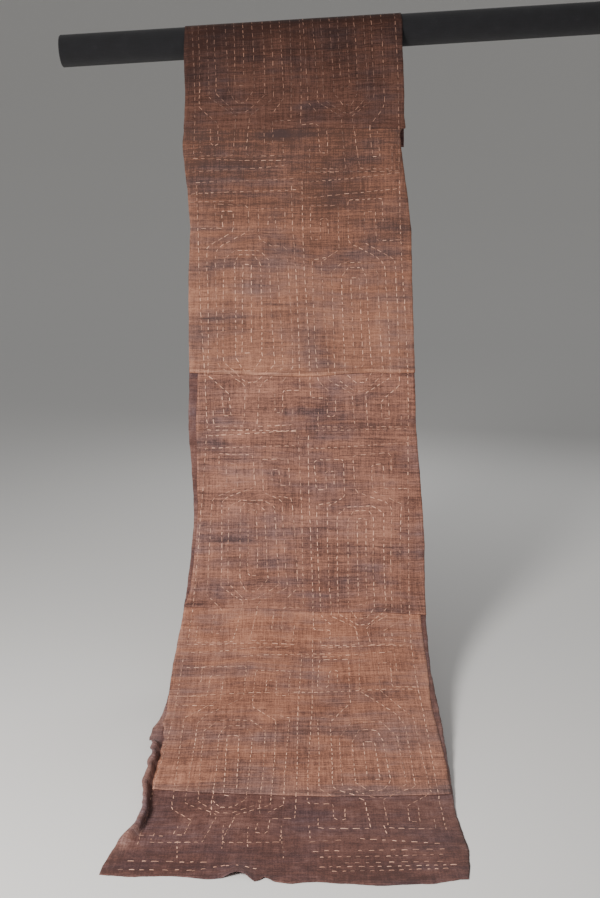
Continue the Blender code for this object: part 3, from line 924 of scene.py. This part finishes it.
def raffia_material(name, dark, middle, light, grey, seed, contrast, slope, centre, slope_top=SLOPE_TOP,
                    weave=PANEL_WEAVE, hem_shade_from=None):
    """Plain-woven raffia with streaks of unlike tone, stains, grey patches, worn edges and a woven relief,
    with painted light: hems paled partly by wear and partly as painted highlight, a painted highlight on the
    ground's left margin, darkening towards the fold on panels 1 and 2 that is partly painted shade, and
    painted shade above panel 4's hem.
    """
    material, tree, shader = new_material(name)
    made = {}
    parts = []
    for label, row in STREAKS.items():
        if row[weave] > 0.0:
            scale_across, scale_along, detail, offset = row[:4]
            made[label] = streaks(tree, scale_across, scale_along, detail, seed + offset)
            parts.append((made[label], row[weave] * contrast))
    strip = made["strip"]
    fine = made["fine"]
    tone = weighted_sum(tree, parts)
    slub = streaks(tree, 2.4, 240.0, 0.0, seed + 31.0)
    dark_slub = math_node(tree, "MULTIPLY_ADD", slub, -5.0, 1.65, clamp=True)
    tone = math_node(tree, "MULTIPLY_ADD", dark_slub, -DARK_SLUB * contrast, tone)
    split = add_node(tree, "ShaderNodeSeparateXYZ")
    tree.links.new(drifting_places(tree), split.inputs["Vector"])
    # Tone that slopes with the distance from the fold; on panels 1 and 2 its darkening towards the fold is
    # partly painted shade
    from_fold = math_node(tree, "ABSOLUTE", split.outputs["Y"])
    shift = math_node(tree, "MULTIPLY_ADD", from_fold, slope, -slope * centre)
    shift = math_node(tree, "MINIMUM", shift, slope_top)
    tone = math_node(tree, "ADD", tone, shift)
    colour = ramp(tree, tone, ((0.12, dark), (0.48, middle), (0.88, light)))
    grey_band = streaks(tree, 3.0, 40.0, 3.0, seed + 23.0)
    grey_cloud = streaks(tree, 5.5, 7.0, 4.0, seed + 27.0)
    grey_parts = ((grey_band, GREY_BAND_WEIGHT), (grey_cloud, GREY_CLOUD_WEIGHT))
    greyness = weighted_sum(tree, grey_parts, GREYNESS)
    # Painted shade: a greyer, darker band just above the hem
    if hem_shade_from is not None:
        below = math_node(tree, "SUBTRACT", split.outputs["Y"], hem_shade_from)
        hem_shade = math_node(tree, "MULTIPLY", below, HEM_SHADE_SLOPE, clamp=True)
        greyness = math_node(tree, "MULTIPLY_ADD", hem_shade, HEM_SHADE_SHARE, greyness, clamp=True)
    colour = tinted(tree, greyness, colour, grey)
    # Paler where the tone attribute says: worn edges, hems that are partly worn and partly painted highlight,
    # and the painted highlight on the ground's left margin
    edge = add_node(tree, "ShaderNodeAttribute", attribute_name="tone")
    uneven = math_node(tree, "MULTIPLY", fine, 0.75)
    worn = math_node(tree, "MULTIPLY", edge.outputs["Fac"], uneven, clamp=True)
    colour = tinted(tree, worn, colour, tuple(w / m for w, m in zip(light, middle)))
    tree.links.new(colour, shader.inputs["Base Color"])
    relief = weave_height(tree, split)
    rough = math_node(tree, "MULTIPLY_ADD", strip, 0.22, 0.58)
    tree.links.new(rough, shader.inputs["Roughness"])
    height = weighted_sum(tree, ((strip, 0.9), (fine, 0.8), (made["warp"], 0.6)))
    height = math_node(tree, "MULTIPLY_ADD", relief, 0.25, height)
    add_relief(tree, shader, height, 0.55, 0.0006)
    shader.inputs["Sheen Weight"].default_value = 0.05
    shader.inputs["Sheen Roughness"].default_value = 0.45
    shader.inputs["Specular IOR Level"].default_value = 0.24
    return material


def thread_material():
    """Pale raffia thread: split fibres along each stitch and a tone of its own for each stitch."""
    material, tree, shader = new_material("stitch_raffia_thread")
    attribute = add_node(tree, "ShaderNodeAttribute", attribute_name="tone")
    fibre = streaks(tree, 900.0, 900.0, 2.0, 2.0)
    patch = streaks(tree, 11.0, 11.0, 3.0, 4.0)
    tone = weighted_sum(tree, ((attribute.outputs["Fac"], 0.60), (fibre, 0.5), (patch, 1.4)), 0.58)
    colour = ramp(tree, tone, ((0.0, (0.215, 0.114, 0.084)), (0.50, (0.59, 0.305, 0.205)),
                               (0.90, (0.95, 0.550, 0.385))))
    tree.links.new(colour, shader.inputs["Base Color"])
    rough = math_node(tree, "MULTIPLY_ADD", fibre, 0.3, 0.38)
    tree.links.new(rough, shader.inputs["Roughness"])
    add_relief(tree, shader, fibre, 0.5, 0.0003)
    shader.inputs["Sheen Weight"].default_value = 0.1
    return material


def felt_material():
    """Black felt padding: matted fibres, faint lint and a slightly worn nap."""
    material, tree, shader = new_material("rod_padding_felt")
    place_node = add_node(tree, "ShaderNodeTexCoord")
    fibres = add_node(tree, "ShaderNodeTexNoise", inputs={"Scale": 700.0, "Detail": 4.0, "Roughness": 0.7})
    tree.links.new(place_node.outputs["Object"], fibres.inputs["Vector"])
    nap = add_node(tree, "ShaderNodeTexNoise", inputs={"Scale": 22.0, "Detail": 4.0, "Roughness": 0.6})
    tree.links.new(place_node.outputs["Object"], nap.inputs["Vector"])
    tone = weighted_sum(tree, ((fibres.outputs["Fac"], 0.9), (nap.outputs["Fac"], 0.9)))
    colour = ramp(tree, tone, ((0.15, (0.006, 0.006, 0.007)), (0.60, (0.013, 0.013, 0.016)),
                               (0.95, (0.035, 0.034, 0.037))))
    tree.links.new(colour, shader.inputs["Base Color"])
    rough = math_node(tree, "MULTIPLY_ADD", nap.outputs["Fac"], 0.15, 0.85)
    tree.links.new(rough, shader.inputs["Roughness"])
    add_relief(tree, shader, fibres.outputs["Fac"], 0.6, 0.0008)
    shader.inputs["Sheen Weight"].default_value = 0.10
    shader.inputs["Sheen Roughness"].default_value = 0.6
    return material


def make_stage():
    """Pale floor and, seen by the camera alone, a round backdrop that it sweeps up to far away."""
    material, _, shader = new_material("pale_floor")
    shader.inputs["Base Color"].default_value = (0.78, 0.77, 0.75, 1.0)
    shader.inputs["Roughness"].default_value = 0.9
    corners = np.array([(-1.0, -1.0, 0.0), (1.0, -1.0, 0.0), (1.0, 1.0, 0.0), (-1.0, 1.0, 0.0)])
    corners = corners * FLOOR_HALF_WIDTH
    corners[:, 2] = STAGE_HEIGHT
    ground_floor = add_mesh("floor", corners, np.array([[0, 1, 2, 3]]), corners[:, :2])
    angles = np.arange(BACKDROP_SIDES) * math.tau / BACKDROP_SIDES
    rings = []
    for radius, rise in BACKDROP_PROFILE:
        level = np.full(BACKDROP_SIDES, rise + STAGE_HEIGHT)
        rings.append(np.stack([radius * np.cos(angles), radius * np.sin(angles), level], axis=-1))
    points = np.array(rings)
    index = np.arange(len(rings) * BACKDROP_SIDES).reshape(len(rings), BACKDROP_SIDES)
    after = np.roll(index, -1, axis=1)
    faces = np.stack([index[:-1], index[1:], after[1:], after[:-1]], axis=-1).reshape(-1, 4)
    backdrop = add_mesh("backdrop", points.reshape(-1, 3), faces, points.reshape(-1, 3)[:, :2])
    for ray in ("diffuse", "glossy", "transmission", "shadow"):
        setattr(backdrop, "visible_" + ray, False)
    for stage in (ground_floor, backdrop):
        stage.data.materials.append(material)


def add_light(kind, name, location, target, power):
    """Light of one kind, aimed at a point and out of the camera's sight."""
    data = bpy.data.lights.new(name, kind)
    data.energy = power
    light = bpy.data.objects.new(name, data)
    light.location = location
    light.rotation_euler = (Vector(target) - Vector(location)).to_track_quat("-Z", "Y").to_euler()
    light.visible_camera = False
    bpy.context.scene.collection.objects.link(light)
    return data


def make_lights():
    """Plain soft studio light from the left, strongest on the lower half of the cloth."""
    key = add_light("AREA", "key_light", *KEY_LIGHT)
    key.color = WARM_LIGHT
    key.size = KEY_SIZE
    low = add_light("SPOT", "low_light", *LOW_LIGHT)
    low.color = WARM_LIGHT
    low.spot_size = LOW_SPREAD
    low.spot_blend = 1.0
    low.shadow_soft_size = LOW_SOFTNESS
    back = add_light("AREA", "back_light", *BACK_LIGHT)
    back.size = BACK_SIZE
    world = bpy.data.worlds.new("studio")
    bpy.context.scene.world = world
    world.use_nodes = True
    background = world.node_tree.nodes["Background"]
    background.inputs["Color"].default_value = (1.0, 1.0, 1.0, 1.0)
    background.inputs["Strength"].default_value = WORLD_STRENGTH


def make_camera():
    """Camera at the photograph's viewing angle."""
    data = bpy.data.cameras.new("camera")
    data.sensor_fit = "HORIZONTAL"
    data.sensor_width = SENSOR_WIDTH
    data.lens = CAMERA_FOCAL
    data.clip_end = 50.0
    camera = bpy.data.objects.new("camera", data)
    camera.location = CAMERA_PLACE
    camera.rotation_euler = (CAMERA_PITCH, 0.0, 0.0)
    bpy.context.scene.collection.objects.link(camera)
    bpy.context.scene.camera = camera


def make_threads():
    """Running stitches by sheet, 0 for the ground and 1 to 4 for the panels, and the threads on the back."""
    ends, paleness, gaps = all_stitches()
    places = ends.mean(axis=1)
    _, owners = top_layer(places[:, 0], places[:, 1])
    look = thread_material()
    threads = {}
    for number in range(len(PANEL_LINES) + 1):
        label = "panel_" + str(number) if number else "ground"
        here = owners == number
        piece = add_threads(label + "_stitches", ends[here], paleness[here], True, 100 + number)
        piece.data.materials.append(look)
        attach(piece, "root")
        threads[number] = piece
    middles = gaps.mean(axis=1)[:, None, :]
    back_ends = middles + (gaps - middles) * BACK_SHARE / (1.0 - STITCH_SHARE) * 0.5
    seen = np.zeros(len(gaps), dtype=bool)
    for first_along, last_along in BACK_SHOWS:
        seen = seen | ((middles[:, 0, 1] > first_along) & (middles[:, 0, 1] < last_along))
    back_ends = back_ends[seen]
    back_threads = add_threads("back_stitches", back_ends, np.full(len(back_ends), BACK_TONE), False, 200)
    back_threads.data.materials.append(look)
    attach(back_threads, "root")
    return threads, back_threads


def make_cloth(threads, back_threads):
    """The ground and its four panels, each with its own raffia. The threads and back threads it is given are
    not used.
    """
    look = raffia_material("ground_raffia_weave", *RAFFIA["ground"], slope_top=GROUND_SLOPE_TOP,
                           weave=GROUND_WEAVE)
    ground = make_ground()
    ground.data.materials.append(look)
    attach(ground, "root")
    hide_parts("ground_cloth")
    for number, name in enumerate(PANEL_LINES, 1):
        look = raffia_material(name + "_raffia_weave", *RAFFIA[name], hem_shade_from=HEM_SHADE_FROM.get(name))
        panel = make_panel(name, 10.0 * number)
        panel.data.materials.append(look)
        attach(panel, "root")
        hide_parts(name)


def dress_rod():
    """The rod keeps its solid and gets black felt."""
    felt = felt_material()
    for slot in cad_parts["rod"].material_slots:
        slot.material = felt


make_camera()
make_stage()
make_lights()
make_cloth(*make_threads())
dress_rod()
